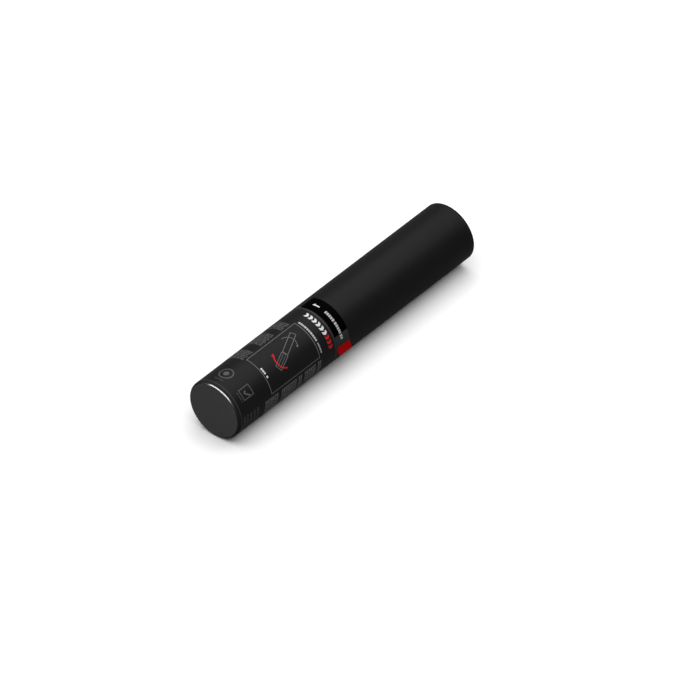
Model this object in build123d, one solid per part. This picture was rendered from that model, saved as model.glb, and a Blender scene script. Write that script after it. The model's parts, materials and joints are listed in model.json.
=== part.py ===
from build123d import *
import math
import os

# A hand-held confetti popper that is fired by a twist.
# A black card barrel holds paper slips, and the grip behind it holds a bottle of compressed gas.
# Twisting the grip turns the bottle's valve inside a fixed cam, which lifts the plug and frees the gas.
# Each piece is modelled standing on the base, with Z along the tube, and laid on its side at the end.
# Lengths are millimetres and angles are degrees.

# Barrel
barrel_diameter = 50.6
barrel_wall = 2.0
barrel_length = 160.8

# Grip and its label
grip_step = 0.3
grip_wall = 1.7
grip_length = 117.4
joint_gap = 0.3
label_thickness = 0.15
label_margin = 0.2
label_seam = 0.8

# Base cap
base_flange = 2.8
base_floor = 2.2
base_spigot = 12.0
base_cup_wall = 4.0
base_edge_radius = 1.1

# Muzzle cap
muzzle_flange = 1.5
muzzle_floor = 1.2
muzzle_plug = 9.0
muzzle_plug_wall = 1.4
muzzle_edge_radius = 0.8
muzzle_clearance = 0.15

# Fits that several pieces share
glue_gap = 0.1
film_gap_share = 0.0025
running_clearance = 0.08
axial_play = 0.2

# Twist bearing
bush_flange = 2.5
bush_length = 19.0
bush_wall = 2.3
bush_edge = 0.3
journal_wall = 2.0
journal_lip = 2.0
washer_thickness = 1.0
washer_width = 1.9
ring_thickness = 1.4
ring_width = 2.4
ring_depth = 0.9
ring_gap = 6.0
journal_seal_section = 1.6
journal_seal_drop = 8.0

# Twist stop
twist_angle = 90.0
stop_play = 1.0
lug_angle = 30.0
lug_height = 2.0
lug_width = 1.7

# Gas chamber
spigot_length = 22.0
spigot_wall = 2.0
bulkhead_rise = 2.0
bulkhead_thickness = 3.0
gas_port_diameter = 15.0
ledge_drop = 6.0
ledge_width = 1.0
diffuser_thickness = 1.2
diffuser_hole_diameter = 4.0
diffuser_rim = 6.2
diffuser_ring_count = 2
diffuser_hole_count = 6

# Cam and cross pin
valve_lift = 6.0
pin_diameter = 3.0
pin_recess = 0.5
slot_clearance = 0.2
cam_flange = 2.0
cam_share = 0.6945
cam_wall = 3.4
cam_margin = 1.5
cam_gap = 0.6

# Cam screws
screw_count = 3
screw_share = 0.57
screw_land = 0.66
screw_length = 4.4
screw_head_height = 1.6
screw_slot = 0.6

# Valve and plug
valve_bore_share = 0.556
tower_rise = 3.0
hex_lip = 2.0
hex_thickness = 4.0
hex_gap = 1.5
stem_length = 9.0
stem_wall = 1.4
slot_rise = 0.5
plug_head = 5.0
plug_tail = 2.0
seal_section = 1.3
seal_setback = 2.0
seal_pitch = 3.0
seal_clearance = 0.05
seal_groove_play = 0.3

# Gas cylinder and what holds it
cylinder_wall = 1.2
cylinder_clearance = 0.2
cylinder_foot_radius = 3.0
cylinder_dome = 4.0
neck_wall = 2.5
neck_length = 9.0
pad_thickness = 3.0
gasket_thickness = 1.0
collar_length = 12.0
collar_drop = 2.0
collar_web = 1.2
collar_pocket_count = 8
collar_pocket_angle = 36.0

# Load
wad_floor = 4.0
wad_skirt = 6.0
wad_wall = 2.5
wad_clearance = 0.3
head_space = 7.7
slip_width = 17.0
load_clearance = 0.5
bundle_gap = 0.4
cover_thickness = 1.5
colours = ["orange", "lime", "blue", "magenta", "yellow", "red", "green", "navy"]
tier_count = 2
column_count = 2
colour_shift_count = 3

# Safety strip, whose start is an angle round the tube from its top
strip_width = 14.8
strip_lap = 2.1
strip_thickness = 0.15
strip_start_angle = -26.6
strip_length = 50.0

# Pull tab, which bends away from the tube and then runs straight
tab_length = 6.9
tab_bend_radius = 2.5
tab_bend_angle = 17.0
tab_corner_radius = 0.8

# Radii of the tubes
barrel_radius = barrel_diameter / 2
barrel_bore = barrel_radius - barrel_wall
grip_radius = barrel_radius - grip_step
grip_bore = grip_radius - grip_wall
film_gap = film_gap_share * barrel_radius
label_inner = grip_radius + film_gap
skin_radius = label_inner + label_thickness

# Stations along the tube, from the base face
tube_top = grip_length - bush_flange
barrel_bottom = grip_length + joint_gap
barrel_top = barrel_bottom + barrel_length
overall_length = barrel_top + muzzle_flange

# Bearing sizes, from the grip's bore inwards
bush_outer = grip_bore - glue_gap
bush_bore = bush_outer - bush_wall
bush_bottom = tube_top - bush_length
journal_radius = bush_bore - running_clearance
journal_inner = journal_radius - journal_wall
ring_groove = journal_radius - ring_depth
ring_top = bush_bottom - washer_thickness - axial_play
ring_bottom = ring_top - ring_thickness
journal_bottom = ring_bottom - journal_lip
lug_radius = journal_radius + lug_width
lug_bottom = barrel_bottom - lug_height
pocket_radius = lug_radius + axial_play
pocket_bottom = lug_bottom - axial_play

# Gas chamber sizes
spigot_radius = barrel_bore - glue_gap
spigot_inner = spigot_radius - spigot_wall
ledge_radius = spigot_inner - ledge_width
diffuser_pitch = (ledge_radius - diffuser_rim) / diffuser_ring_count
spigot_top = barrel_bottom + spigot_length
ledge_height = spigot_top - ledge_drop
bulkhead_bottom = barrel_bottom + bulkhead_rise
bulkhead_top = bulkhead_bottom + bulkhead_thickness

# Cam and valve sizes, from the journal inwards
cam_flange_radius = journal_inner - glue_gap
cam_radius = cam_share * cam_flange_radius
cam_bore = cam_radius - cam_wall
tower_radius = cam_bore - cam_gap
bore_radius = valve_bore_share * tower_radius
plug_radius = bore_radius - running_clearance
hex_across = 2 * (tower_radius + hex_lip)
pin_radius = pin_diameter / 2

# Cam screws, in the room between the cam and the edge of its flange
screw_circle = (cam_radius + cam_flange_radius) / 2
screw_head_diameter = cam_flange_radius - cam_radius - 2 * screw_land
screw_diameter = screw_share * screw_head_diameter

# Valve stations, from the cam flange down to the gas cylinder
cam_slope = math.atan(valve_lift / (math.radians(twist_angle) * cam_bore))
slot_height = pin_diameter / math.cos(cam_slope) + 2 * slot_clearance
cam_flange_bottom = bulkhead_bottom - cam_flange
pin_open = cam_flange_bottom - cam_margin - slot_height / 2
pin_height = pin_open - valve_lift
cam_bottom = pin_height - slot_height / 2 - cam_margin
hex_top = cam_bottom - hex_gap
hex_bottom = hex_top - hex_thickness
tower_top = pin_open + tower_rise
tower_slot_bottom = hex_top + slot_rise
neck_top = hex_bottom - gasket_thickness
upper_seal = tower_slot_bottom - seal_setback
lower_seal = upper_seal - seal_pitch
seal_circle = bore_radius - seal_clearance - seal_section / 2

# Gas cylinder sizes
base_spigot_radius = grip_bore - glue_gap
cup_radius = base_spigot_radius - base_cup_wall
cylinder_radius = cup_radius - cylinder_clearance
stem_radius = bore_radius + stem_wall
neck_bore = stem_radius + glue_gap
neck_radius = neck_bore + neck_wall
pad_top = base_floor + pad_thickness
shoulder_top = neck_top - neck_length
shoulder_bottom = shoulder_top - (cylinder_radius - neck_radius)
collar_top = shoulder_bottom - collar_drop
collar_bottom = collar_top - collar_length

# Load sizes
wad_radius = barrel_bore - wad_clearance
wad_bottom = spigot_top + axial_play
wad_top = wad_bottom + wad_skirt + wad_floor
muzzle_plug_bottom = barrel_top - muzzle_plug
load_top = muzzle_plug_bottom - head_space - cover_thickness
slip_length = (load_top - wad_top - (tier_count - 1) * bundle_gap) / tier_count
load_half_width = (column_count * slip_width + (column_count - 1) * bundle_gap) / 2
load_half_height = math.sqrt((barrel_bore - load_clearance) ** 2 - load_half_width ** 2)
bundle_thickness = 2 * load_half_height / len(colours)

# Strip sizes
strip_inner = barrel_radius + film_gap
strip_outer = strip_inner + strip_thickness
strip_bottom = barrel_bottom - strip_lap
strip_top = strip_bottom + strip_width
strip_arc = math.degrees(strip_length / strip_inner)
tab_straight = tab_length - math.radians(tab_bend_angle) * (tab_bend_radius + strip_thickness / 2)
tube_top_side = 180.0


def turned(outline):
    """A solid turned about Z from a closed outline of radius and height."""
    return revolve(Plane.XZ * make_face(outline), Axis.Z)


def sleeve(inner, outer, bottom, top, start=0.0, arc=360.0):
    """A tube, or the part of one that starts at an angle about Z and spans an arc."""
    section = Pos((inner + outer) / 2, (bottom + top) / 2) * Rectangle(outer - inner, top - bottom)
    return Rot(0, 0, start) * revolve(Plane.XZ * section, Axis.Z, revolution_arc=arc)


def disc(radius, bottom, top):
    """A solid round plate."""
    return Pos(0, 0, bottom) * extrude(Circle(radius), top - bottom)


def o_ring(circle, section, height):
    """A rubber ring of round section."""
    return Pos(0, 0, height) * Torus(circle, section / 2)


def barrel_tube():
    return sleeve(barrel_bore, barrel_radius, barrel_bottom, barrel_top)


def grip_tube():
    return sleeve(grip_bore, grip_radius, base_flange, tube_top)


def grip_label():
    """The label goes once round the grip and leaves a narrow seam on the underside."""
    seam = math.degrees(label_seam / grip_radius)
    bottom = base_flange + label_margin
    top = tube_top - label_margin
    return sleeve(label_inner, skin_radius, bottom, top, seam / 2, 360 - seam)


def base_cap():
    """A flange with a rounded rim, and a cup that seats the gas cylinder."""
    spigot = base_spigot_radius
    spigot_end = base_flange + base_spigot
    edge = base_edge_radius
    outline = Polyline((0, base_floor), (0, 0), (skin_radius - edge, 0))
    outline += CenterArc((skin_radius - edge, edge), edge, -90, 90)
    outline += Polyline(
        (skin_radius, edge), (skin_radius, base_flange), (spigot, base_flange), (spigot, spigot_end),
        (cup_radius, spigot_end), (cup_radius, base_floor), (0, base_floor))
    return turned(outline)


def muzzle_cap():
    """A flange as wide as the barrel, on a hollow plug that slides in its bore."""
    plug = barrel_bore - muzzle_clearance
    inside = plug - muzzle_plug_wall
    ceiling = overall_length - muzzle_floor
    edge = muzzle_edge_radius
    outline = Polyline(
        (0, ceiling), (inside, ceiling), (inside, muzzle_plug_bottom), (plug, muzzle_plug_bottom),
        (plug, barrel_top), (barrel_radius, barrel_top), (barrel_radius, overall_length - edge))
    outline += CenterArc((barrel_radius - edge, overall_length - edge), edge, 0, 90)
    outline += Polyline((barrel_radius - edge, overall_length), (0, overall_length), (0, ceiling))
    return turned(outline)


def grip_bush():
    """The grip's bearing, with a flange over the end of the tube and a pocket for the stop lug."""
    outline = Polyline(
        (bush_bore, bush_bottom), (bush_outer, bush_bottom), (bush_outer, tube_top),
        (skin_radius, tube_top), (skin_radius, grip_length - bush_edge),
        (skin_radius - bush_edge, grip_length), (bush_bore, grip_length), close=True)
    pocket_start = -lug_angle / 2 - twist_angle - stop_play
    pocket_arc = lug_angle + twist_angle + 2 * stop_play
    inside = bush_bore - bush_wall
    return turned(outline) - sleeve(
        inside, pocket_radius, pocket_bottom, grip_length + bush_flange, pocket_start, pocket_arc)


def coupler():
    """The housing glued in the barrel: a journal below, a bulkhead, and the gas chamber above."""
    body = sleeve(journal_inner, journal_radius, journal_bottom, barrel_bottom)
    body += sleeve(journal_inner, spigot_radius, barrel_bottom, bulkhead_bottom)
    body += sleeve(gas_port_diameter / 2, spigot_radius, bulkhead_bottom, bulkhead_top)
    body += sleeve(ledge_radius, spigot_radius, bulkhead_top, ledge_height)
    body += sleeve(spigot_inner, spigot_radius, ledge_height, spigot_top)
    body += sleeve(journal_inner, lug_radius, lug_bottom, barrel_bottom, -lug_angle / 2, lug_angle)
    body -= sleeve(ring_groove, grip_bore, ring_bottom, ring_top)
    seal_half = (journal_seal_section + seal_groove_play) / 2
    seal_height = barrel_bottom - journal_seal_drop
    body -= sleeve(
        bush_bore - seal_clearance - journal_seal_section, grip_bore,
        seal_height - seal_half, seal_height + seal_half)
    for place in PolarLocations(screw_circle, screw_count):
        hole = Cylinder(screw_diameter / 2 + glue_gap, 2 * bulkhead_thickness)
        body -= Pos(0, 0, bulkhead_bottom) * place * hole
    return body


def journal_seal():
    circle = bush_bore - seal_clearance - journal_seal_section / 2
    return o_ring(circle, journal_seal_section, barrel_bottom - journal_seal_drop)


def retaining_ring():
    """A snap ring, open at one side so that it springs into its groove."""
    inner = ring_groove + running_clearance
    gap = math.degrees(ring_gap / inner)
    play = running_clearance
    return sleeve(inner, inner + ring_width, ring_bottom + play, ring_top - play, gap / 2, 360 - gap)


def thrust_washer():
    return sleeve(bush_bore, bush_bore + washer_width, bush_bottom - washer_thickness, bush_bottom)


def helical_slot():
    """The path of the cross pin through the cam's wall, as the grip turns and the pin rises."""
    lead = math.degrees(math.asin((pin_radius + slot_clearance) / cam_bore))
    turn = twist_angle + 2 * lead
    rise = valve_lift / twist_angle
    start = pin_height - rise * lead
    middle = (cam_bore + cam_radius) / 2
    path = Helix(pitch=360 * rise, height=turn * rise, radius=middle, center=(0, 0, start))
    section = Plane.XZ * Pos(middle, start) * Rectangle(2 * cam_wall, slot_height)
    return Rot(0, 0, -lead) * sweep(section, path, is_frenet=True)


def cam_sleeve():
    """A flanged sleeve with two helical slots, one for each end of the cross pin."""
    body = sleeve(cam_bore, cam_radius, cam_bottom, cam_flange_bottom)
    body += sleeve(cam_bore, cam_flange_radius, cam_flange_bottom, bulkhead_bottom)
    slot = helical_slot()
    body -= slot
    body -= Rot(0, 0, 180) * slot
    for place in PolarLocations(screw_circle, screw_count):
        body -= Pos(0, 0, cam_flange_bottom) * place * Cylinder(screw_diameter / 2 + glue_gap, 3 * cam_flange)
    return body


def cam_screws():
    """Pan-head screws, driven up through the cam's flange into the bulkhead."""
    radius = screw_diameter / 2
    head = screw_head_diameter / 2
    under = cam_flange_bottom
    outline = Polyline(
        (0, under - screw_head_height), (head, under - screw_head_height), (head, under),
        (radius, under), (radius, under + screw_length), (0, under + screw_length), close=True)
    screw = turned(outline)
    slot = Box(screw_head_diameter * 2, screw_slot, screw_head_height)
    screw -= Pos(0, 0, under - screw_head_height) * slot
    return Compound(children=[place * screw for place in PolarLocations(screw_circle, screw_count)])


def diffuser_plate():
    """A plate on the coupler's ledge, with rings of holes about a central one."""
    top = ledge_height + diffuser_thickness
    plate = disc(spigot_inner - glue_gap, ledge_height, top)
    hole = Pos(0, 0, ledge_height) * Cylinder(diffuser_hole_diameter / 2, 3 * diffuser_thickness)
    plate -= hole
    for ring in range(1, diffuser_ring_count + 1):
        for place in PolarLocations(ring * diffuser_pitch, ring * diffuser_hole_count):
            plate -= place * hole
    return plate


def valve_body():
    """A stem in the cylinder's neck, a hexagon to turn it by, and a tower slotted for the pin."""
    hexagon = RegularPolygon(hex_across / 2, 6, major_radius=False)
    body = Pos(0, 0, hex_bottom) * extrude(hexagon, hex_thickness)
    body += disc(stem_radius, hex_bottom - stem_length, hex_bottom)
    body += disc(tower_radius, hex_top, tower_top)
    body -= disc(bore_radius, hex_bottom - stem_length, tower_top)
    slot_depth = tower_top - tower_slot_bottom
    slot = Box(3 * tower_radius, pin_diameter + 2 * slot_clearance, 2 * slot_depth)
    return body - Pos(0, 0, tower_top) * slot


def neck_gasket():
    return sleeve(stem_radius + glue_gap, neck_radius, neck_top, hex_bottom)


def release_plug():
    """The plug that closes the valve, with two seal grooves and a cross hole."""
    body = disc(plug_radius, lower_seal - plug_tail, pin_height + plug_head)
    groove_half = (seal_section + seal_groove_play) / 2
    groove_root = seal_circle - seal_section / 2
    for height in (lower_seal, upper_seal):
        body -= sleeve(groove_root, 2 * bore_radius, height - groove_half, height + groove_half)
    hole = Cylinder(pin_radius + seal_clearance, 4 * plug_radius)
    return body - Pos(0, 0, pin_height) * Rot(0, 90, 0) * hole


def plug_seals():
    return Compound(children=[o_ring(seal_circle, seal_section, at) for at in (lower_seal, upper_seal)])


def cross_pin():
    return Pos(0, 0, pin_height) * Rot(0, 90, 0) * Cylinder(pin_radius, 2 * (cam_radius - pin_recess))


def gas_cylinder():
    """A drawn bottle with a domed foot, a round shoulder and an open neck."""
    foot = cylinder_foot_radius
    rest = cylinder_radius - 2 * foot
    inner = cylinder_radius - cylinder_wall
    floor = pad_top + cylinder_dome + cylinder_wall
    dome = ThreePointArc(
        (0, pad_top + cylinder_dome), (rest / 2, pad_top + 0.75 * cylinder_dome), (rest, pad_top))
    outline = Line((0, floor), (0, pad_top + cylinder_dome)) + dome
    outline += Line((rest, pad_top), (cylinder_radius - foot, pad_top))
    outline += CenterArc((cylinder_radius - foot, pad_top + foot), foot, -90, 90)
    outline += Line((cylinder_radius, pad_top + foot), (cylinder_radius, shoulder_bottom))
    outline += CenterArc((neck_radius, shoulder_bottom), cylinder_radius - neck_radius, 0, 90)
    outline += Polyline((neck_radius, shoulder_top), (neck_radius, neck_top), (neck_bore, neck_top))
    outline += Line((neck_bore, neck_top), (neck_bore, shoulder_top - cylinder_wall))
    outline += Line((neck_bore, shoulder_top - cylinder_wall), (neck_radius, shoulder_top - cylinder_wall))
    outline += CenterArc((neck_radius, shoulder_bottom), inner - neck_radius, 0, 90)
    outline += Polyline((inner, shoulder_bottom), (inner, floor), (0, floor))
    return turned(outline)


def cylinder_pad():
    return disc(cylinder_radius, base_floor, pad_top)


def cylinder_collar():
    """A moulded ring between the cylinder and the grip, lightened by a ring of pockets."""
    outer = base_spigot_radius
    body = sleeve(cup_radius, outer, collar_bottom, collar_top)
    pocket = sleeve(
        cup_radius + collar_web, outer - collar_web, collar_bottom + collar_web, collar_top + collar_web,
        0, collar_pocket_angle)
    for place in PolarLocations(0, collar_pocket_count):
        body -= place * pocket
    return body


def wad():
    """A piston whose skirt faces the gas."""
    body = disc(wad_radius, wad_bottom, wad_top)
    return body - disc(wad_radius - wad_wall, wad_bottom, wad_bottom + wad_skirt)


def cover_disc():
    return disc(wad_radius, load_top, load_top + cover_thickness)


def confetti(colour):
    """All the bundles of one colour: one in each column of each tier, in a shifted order."""
    bundles = []
    for tier in range(tier_count):
        for column in range(column_count):
            shift = colour_shift_count * (tier * column_count + column)
            level = (colours.index(colour) + shift) % len(colours)
            across = -load_half_width + slip_width / 2 + column * (slip_width + bundle_gap)
            height = -load_half_height + bundle_thickness * (level + 0.5)
            along = wad_top + slip_length / 2 + tier * (slip_length + bundle_gap)
            bundle = Box(bundle_thickness, slip_width, slip_length)
            bundles.append(Pos(height, across, along) * bundle)
    return Compound(children=bundles)


def safety_strip():
    start = tube_top_side + strip_start_angle
    return sleeve(strip_inner, strip_outer, strip_bottom, strip_top, start, strip_arc)


def pull_tab():
    """The free end of the strip, which stands off the tube so that fingers can grip it."""
    flat = Box(strip_thickness, tab_straight, strip_width)
    corners = flat.edges().filter_by(Axis.X).group_by(Axis.Y)[-1]
    flat = fillet(corners, tab_corner_radius)
    middle = tab_bend_radius + strip_thickness / 2
    flat = Pos(-middle, tab_straight / 2, (strip_bottom + strip_top) / 2) * flat
    bend = sleeve(
        tab_bend_radius, tab_bend_radius + strip_thickness, strip_bottom, strip_top,
        180 - tab_bend_angle, tab_bend_angle)
    tab = bend + Rot(0, 0, -tab_bend_angle) * flat
    start = tube_top_side + strip_start_angle + strip_arc
    return Rot(0, 0, start) * Pos(strip_outer + tab_bend_radius, 0) * tab


pieces = {
    "barrel_tube": barrel_tube(),
    "coupler": coupler(),
    "cam_sleeve": cam_sleeve(),
    "cam_screws": cam_screws(),
    "diffuser_plate": diffuser_plate(),
    "retaining_ring": retaining_ring(),
    "journal_seal": journal_seal(),
    "grip_tube": grip_tube(),
    "grip_label": grip_label(),
    "grip_bush": grip_bush(),
    "base_cap": base_cap(),
    "gas_cylinder": gas_cylinder(),
    "cylinder_pad": cylinder_pad(),
    "cylinder_collar": cylinder_collar(),
    "valve_body": valve_body(),
    "neck_gasket": neck_gasket(),
    "thrust_washer": thrust_washer(),
    "release_plug": release_plug(),
    "plug_seals": plug_seals(),
    "cross_pin": cross_pin(),
    "wad": wad(),
    "cover_disc": cover_disc(),
    "muzzle_cap": muzzle_cap(),
    "safety_strip": safety_strip(),
    "pull_tab": pull_tab(),
}
for colour in colours:
    pieces["confetti_" + colour] = confetti(colour)

# The popper lies on its side, with X along the tube towards the muzzle and Z up from the floor.
lay_down = Pos(-overall_length / 2, 0, barrel_radius) * Rot(0, 90, 0)

os.makedirs("parts", exist_ok=True)
for name, shape in pieces.items():
    export_step(lay_down * shape, f"parts/{name}.step")
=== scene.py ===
# %% [markdown]
# # A twist-fired confetti popper
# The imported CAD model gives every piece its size, its place and the body that it moves with.
# This script loads that model as a fixed frame and dresses it. The pieces that show are modelled again with
# finer edges, and every piece gets a finish made of shader nodes.

# %% Load the frame
import json
import math
import random

import bmesh
import bpy
from mathutils import Matrix, Vector


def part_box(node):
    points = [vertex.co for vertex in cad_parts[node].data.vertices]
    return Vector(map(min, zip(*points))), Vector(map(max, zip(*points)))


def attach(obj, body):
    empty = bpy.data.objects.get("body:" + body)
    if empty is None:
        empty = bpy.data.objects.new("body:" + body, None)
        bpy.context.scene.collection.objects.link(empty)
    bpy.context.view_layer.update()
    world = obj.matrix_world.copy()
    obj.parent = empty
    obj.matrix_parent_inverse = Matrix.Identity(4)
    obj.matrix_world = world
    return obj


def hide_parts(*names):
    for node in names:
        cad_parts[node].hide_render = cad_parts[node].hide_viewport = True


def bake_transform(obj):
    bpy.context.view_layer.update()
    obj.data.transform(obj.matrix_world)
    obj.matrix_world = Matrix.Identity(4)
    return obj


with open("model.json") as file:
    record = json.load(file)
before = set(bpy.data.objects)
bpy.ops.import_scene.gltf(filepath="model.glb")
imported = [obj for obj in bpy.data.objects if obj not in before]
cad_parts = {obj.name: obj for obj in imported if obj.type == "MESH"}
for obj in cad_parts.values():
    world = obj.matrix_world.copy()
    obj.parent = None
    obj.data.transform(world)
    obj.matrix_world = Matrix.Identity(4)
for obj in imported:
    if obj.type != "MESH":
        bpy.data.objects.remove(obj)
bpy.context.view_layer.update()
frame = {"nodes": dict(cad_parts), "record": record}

print("nodes:", len(frame["nodes"]))

# %% [markdown]
# ## Measures
# Nothing is measured twice: the axis height comes from the record, and radii and stations come from the
# vertices of the CAD nodes. Vertices of a round CAD face lie exactly on the circle, while a box round them
# can miss its highest point, so the radius is the farthest vertex from the axis.

# %% Measures
MM = 0.001
axis_height = frame["record"]["mounts"][0]["pos_m"][2]


def span(node):
    """The stations, along X, where a node starts and ends."""
    low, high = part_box(node)
    return low.x, high.x


def reach(node):
    """The smallest and the largest distance of a node's vertices from the tube's axis."""
    away = [math.hypot(v.co.y, v.co.z - axis_height) for v in frame["nodes"][node].data.vertices]
    return min(away), max(away)


print("axis height", round(axis_height / MM, 3), "mm")

# %% [markdown]
# ## Camera
# The long edges of the tube run parallel in the photograph, so it was taken from far away with a long lens.
# A true perspective camera with such a lens keeps this, and still turns round the object in other views.
# The object sits a little off the middle of the picture. Aiming the camera beside the tube does that
# without any lens shift.

# %% Camera
PICTURE_SIDE = 700
PIXEL = 0.768 * MM
view_side = math.radians(-49.8)
view_height = math.radians(40.23)
aim_right, aim_down = 17.76 * PIXEL, 29.51 * PIXEL
camera_distance = 15.0

to_camera = Vector((
    math.sin(view_side) * math.cos(view_height),
    -math.cos(view_side) * math.cos(view_height),
    math.sin(view_height),
))
picture_right = Vector((math.cos(view_side), math.sin(view_side), 0.0))
picture_up = to_camera.cross(picture_right)
aim = Vector((0.0, 0.0, axis_height)) + picture_right * aim_right - picture_up * aim_down

lens = bpy.data.cameras.new("photo_camera")
lens.sensor_width = 36.0
lens.lens = lens.sensor_width * camera_distance / (PICTURE_SIDE * PIXEL)
lens.clip_end = 60.0
camera = bpy.data.objects.new("photo_camera", lens)
camera.location = aim + to_camera * camera_distance
camera.rotation_mode = "QUATERNION"
camera.rotation_quaternion = (-to_camera).to_track_quat("-Z", "Y")
bpy.context.scene.collection.objects.link(camera)
bpy.context.scene.camera = camera
print("lens", round(lens.lens), "mm")

# %% [markdown]
# ## Shader maths
# A finish is a small sum: grain plus cloud, a seam taken away, a worn edge added. Written as nodes one by one
# such a sum is hard to read, so Value wraps a socket and lets Python's operators make the Math nodes.
# Tree holds any node tree and makes every other kind of node, and Finish is the tree of one material.

# %% Values
class Value:
    """Something that varies over a surface: one output socket, with operators that add Math nodes."""

    def __init__(self, tree, socket):
        self.tree = tree
        self.socket = socket

    def maths(self, operation, *others):
        return self.tree.maths(operation, self, *others)

    def other(self, output):
        """Another output of the same node."""
        return Value(self.tree, self.socket.node.outputs[output])

    def __add__(self, number):
        return self.maths("ADD", number)

    def __sub__(self, number):
        return self.maths("SUBTRACT", number)

    def __rsub__(self, number):
        return self.tree.maths("SUBTRACT", number, self)

    def __mul__(self, number):
        return self.maths("MULTIPLY", number)

    def __truediv__(self, number):
        return self.maths("DIVIDE", number)

    def __rtruediv__(self, number):
        return self.tree.maths("DIVIDE", number, self)

    __radd__ = __add__
    __rmul__ = __mul__


print("values ready")

# %% Node trees
class Tree:
    """A node tree. Its method node() makes any node, with its settings first and its inputs after them."""

    def __init__(self, tree):
        self.tree = tree

    def plug(self, socket, value):
        if isinstance(value, Value):
            self.tree.links.new(value.socket, socket)
        else:
            socket.default_value = value

    def node(self, kind, settings=None, inputs=None, output=0):
        made = self.tree.nodes.new("ShaderNode" + kind)
        for name, setting in (settings or {}).items():
            setattr(made, name, setting)
        for socket, value in (inputs or {}).items():
            self.plug(made.inputs[socket], value)
        if made.outputs:
            return Value(self, made.outputs[output])

    def maths(self, operation, *inputs):
        return self.node("Math", {"operation": operation}, dict(enumerate(inputs)))


def paint(red, green=None, blue=None):
    """A colour for a socket; one number gives a grey."""
    if green is None:
        return (red, red, red, 1.0)
    return (red, green, blue, 1.0)


print("node trees ready")

# %% Finishes
class Finish(Tree):
    """One material, built round its Principled shader."""

    def __init__(self, name, constants):
        self.material = bpy.data.materials.new(name)
        self.material.use_nodes = True
        super().__init__(self.material.node_tree)
        self.shader = self.tree.nodes["Principled BSDF"]
        for socket, number in constants.items():
            self.feed(socket, number)

    def feed(self, socket, value):
        self.plug(self.shader.inputs[socket], value)

    def place(self):
        return self.node("TexCoord", output="Object")

    def tube(self):
        """Station along the tube, distance from its axis, and angle from its top towards -Y."""
        x = self.node("SeparateXYZ", {}, {0: self.place()})
        side = x.other(1)
        above = x.other(2) - axis_height
        away = (side * side + above * above).maths("SQRT")
        return x, away, (side * -1.0).maths("ARCTAN2", above)

    def noise(self, scale, detail=3.0, stretch=None):
        """Clouds between 0 and 1. A scale of 1000 gives clouds of about a millimetre."""
        place = self.place()
        if stretch:
            place = self.node("Mapping", {}, {"Vector": place, "Scale": stretch})
        return self.node("TexNoise", {}, {"Vector": place, "Scale": scale, "Detail": detail})

    def step(self, value, start, end):
        """0 below start, 1 above end, and a soft rise between them."""
        settings = {"interpolation_type": "SMOOTHSTEP", "clamp": True}
        return self.node("MapRange", settings, {0: value, 1: start, 2: end})

    def mix(self, share, first, second):
        return self.node("Mix", {"data_type": "RGBA"}, {0: share, 6: first, 7: second}, 2)

    def bump(self, height, strength, depth):
        inputs = {"Height": height, "Strength": strength, "Distance": depth}
        self.feed("Normal", self.node("Bump", {}, inputs))


print("finishes ready")

# %% [markdown]
# ## Floor and light
# The popper lies on a white table under one wide, soft lamp, so its shadow is short on every side, and the
# lamp's reflection is the paler band along the tube. For the eye the table is a little over white, which
# burns out the pale rim of the shadow. The light that it throws back is only that of a grey card, or the matt
# black would turn grey, and in a mirror it shows part way between the two: Light Path tells them apart.

# %% Floor
MIRRORED = 0.05
TABLE_SHOWN = 1.2
TABLE_CARD = 0.16
TABLE_RADIUS = 30.0


def seen(tree):
    """1 for rays from the eye or through glass, a share for mirrors, and 0 for light that bounces."""
    ray = tree.node("LightPath", output="Is Camera Ray")
    return ray.maths("MAXIMUM", ray.other("Is Glossy Ray") * MIRRORED + ray.other("Is Transmission Ray"))


table_white = bpy.data.materials.new("table_white")
table_white.use_nodes = True
table_white.node_tree.nodes.clear()
table_tree = Tree(table_white.node_tree)
table_card = table_tree.node("BsdfDiffuse", {}, {"Color": paint(TABLE_CARD)})
table_shown = table_tree.node("BsdfDiffuse", {}, {"Color": paint(TABLE_SHOWN)})
table_mix = table_tree.node("MixShader", {}, {0: seen(table_tree), 1: table_card, 2: table_shown})
table_tree.node("OutputMaterial", {}, {"Surface": table_mix})

floor_shape = bmesh.new()
bmesh.ops.create_circle(floor_shape, cap_ends=True, radius=TABLE_RADIUS, segments=96)
floor_mesh = bpy.data.meshes.new("table")
floor_shape.to_mesh(floor_mesh)
floor_shape.free()
floor_mesh.materials.append(table_white)
floor = bpy.data.objects.new("table", floor_mesh)
bpy.context.scene.collection.objects.link(floor)
print("floor ready")

# %% [markdown]
# The second lamp stands low, out in front of the base end. It is there for the bright line on the rim of the
# base cap alone, so it is hidden from matt surfaces and its light makes no bounces. Light linking ties it to
# that one piece, further down where the cap is made.

# %% Light
SKY_SHOWN = 1.0
SKY_FILL = 0.15


def soft_lamp(name, place, width, height, power):
    """A rectangular lamp that faces the middle of the tube."""
    data = bpy.data.lights.new(name, "AREA")
    data.shape = "RECTANGLE"
    data.size = width
    data.size_y = height
    data.energy = power
    lamp = bpy.data.objects.new(name, data)
    lamp.location = place
    lamp.rotation_mode = "QUATERNION"
    lamp.rotation_quaternion = (Vector((0, 0, axis_height)) - Vector(place)).to_track_quat("-Z", "Y")
    lamp.visible_camera = False
    bpy.context.scene.collection.objects.link(lamp)
    return lamp


key_lamp = soft_lamp("key_lamp", (0.0, 0.0, 2.0), 3.6, 3.6, 70.0)
rim_lamp = soft_lamp("rim_lamp", (-0.82, 0.165, 0.21), 0.74, 0.30, 27.0)
rim_lamp.visible_diffuse = False
rim_lamp.data.cycles.max_bounces = 0

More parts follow.
